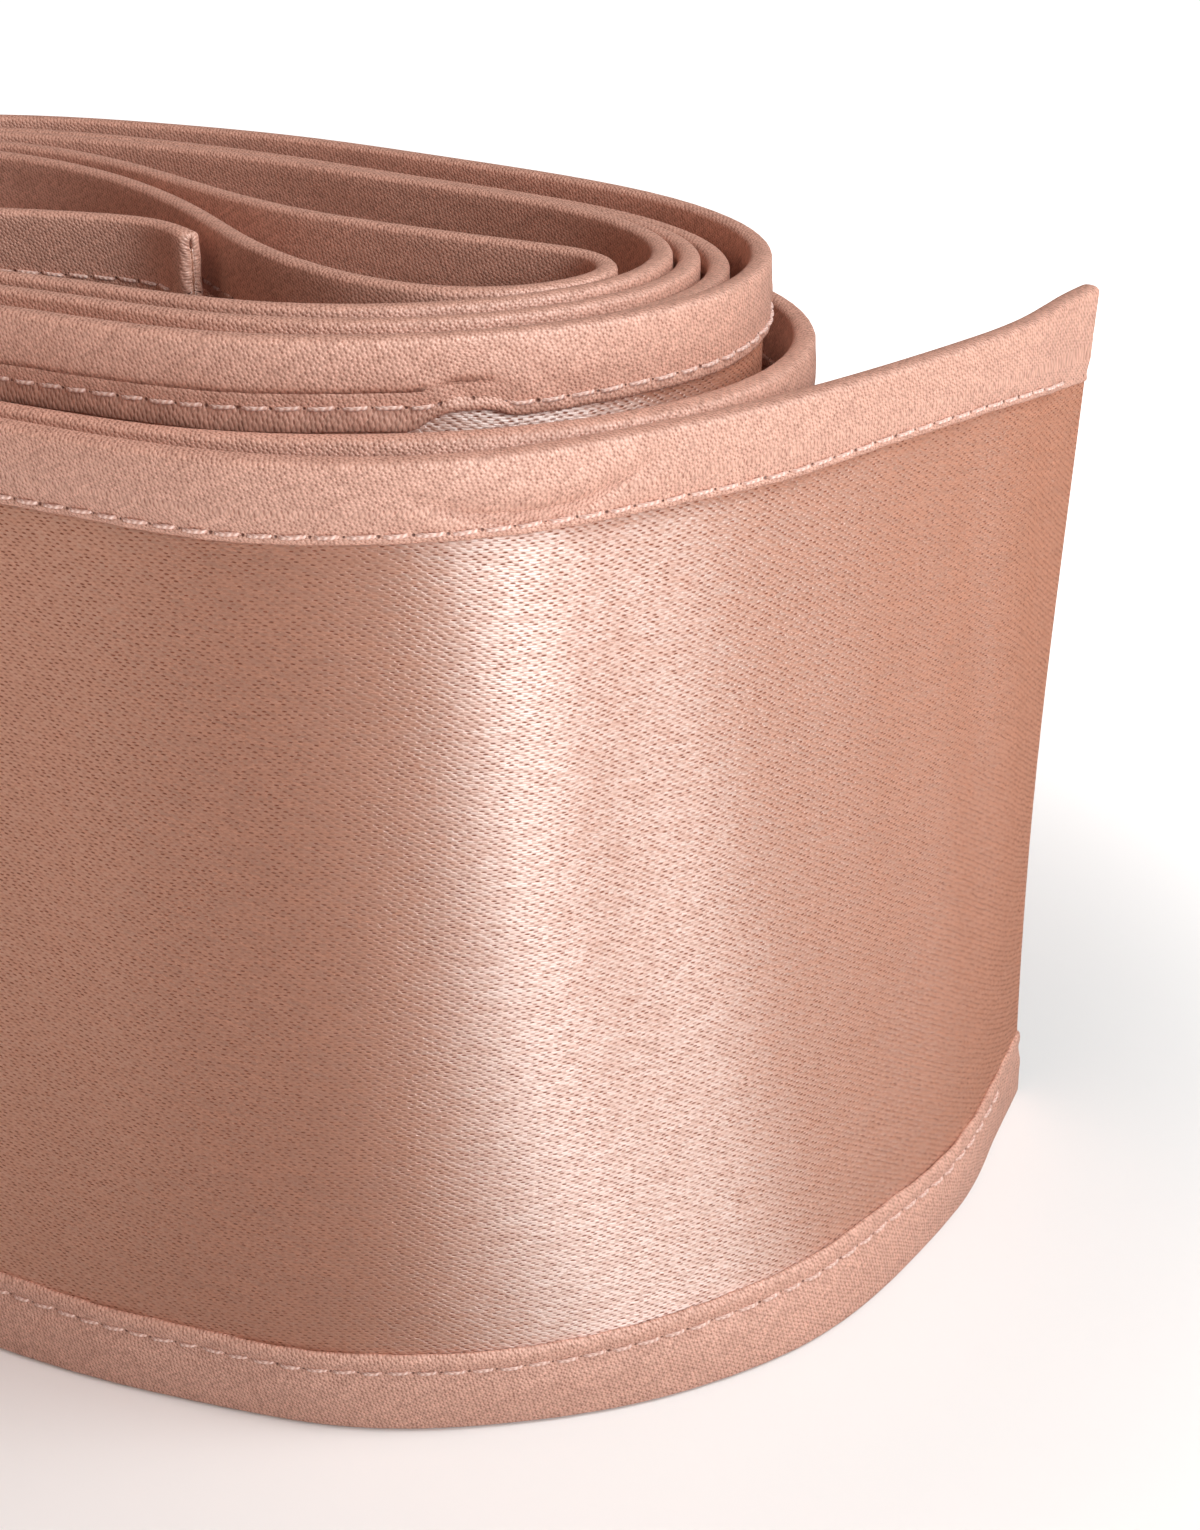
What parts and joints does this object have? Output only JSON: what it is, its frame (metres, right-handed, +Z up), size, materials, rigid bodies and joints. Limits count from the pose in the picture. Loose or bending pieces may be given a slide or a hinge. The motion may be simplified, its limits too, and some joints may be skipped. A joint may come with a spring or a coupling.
{
  "type": "rolled satin belt",
  "caption": "Long satin sash belt with bias-bound edges, rolled into a loose oval coil that stands on its long edge, its plain free end swung out.",
  "frame": {"origin": "middle of the bounding box, on the surface that the belt stands on", "axes": "+X to the picture's right, towards the free end; +Y away from the picture's viewer; +Z up, across the belt's width"},
  "size_m": [0.1248, 0.083, 0.0805],
  "materials": {
    "rose_satin": "dusty rose satin with a soft sheen along the roll's bends",
    "bias_binding": "the same cloth cut on the bias, folded over the edge and topstitched, duller and a little pinker"
  },
  "bodies": {
    "root": {"free_end_panel": "rose_satin", "free_end_top_binding": "bias_binding", "free_end_bottom_binding": "bias_binding", "turn_1_panel": "rose_satin", "turn_1_top_binding": "bias_binding", "turn_1_bottom_binding": "bias_binding", "turn_2_panel": "rose_satin", "turn_2_top_binding": "bias_binding", "turn_2_bottom_binding": "bias_binding", "turn_3_panel": "rose_satin", "turn_3_top_binding": "bias_binding", "turn_3_bottom_binding": "bias_binding", "turn_4_panel": "rose_satin", "turn_4_top_binding": "bias_binding", "turn_4_bottom_binding": "bias_binding", "turn_5_panel": "rose_satin", "turn_5_top_binding": "bias_binding", "turn_5_bottom_binding": "bias_binding", "turn_6_panel": "rose_satin", "turn_6_top_binding": "bias_binding", "turn_6_bottom_binding": "bias_binding", "inner_end_panel": "rose_satin", "inner_end_top_binding": "bias_binding", "inner_end_bottom_binding": "bias_binding"}
  },
  "joints": []
}
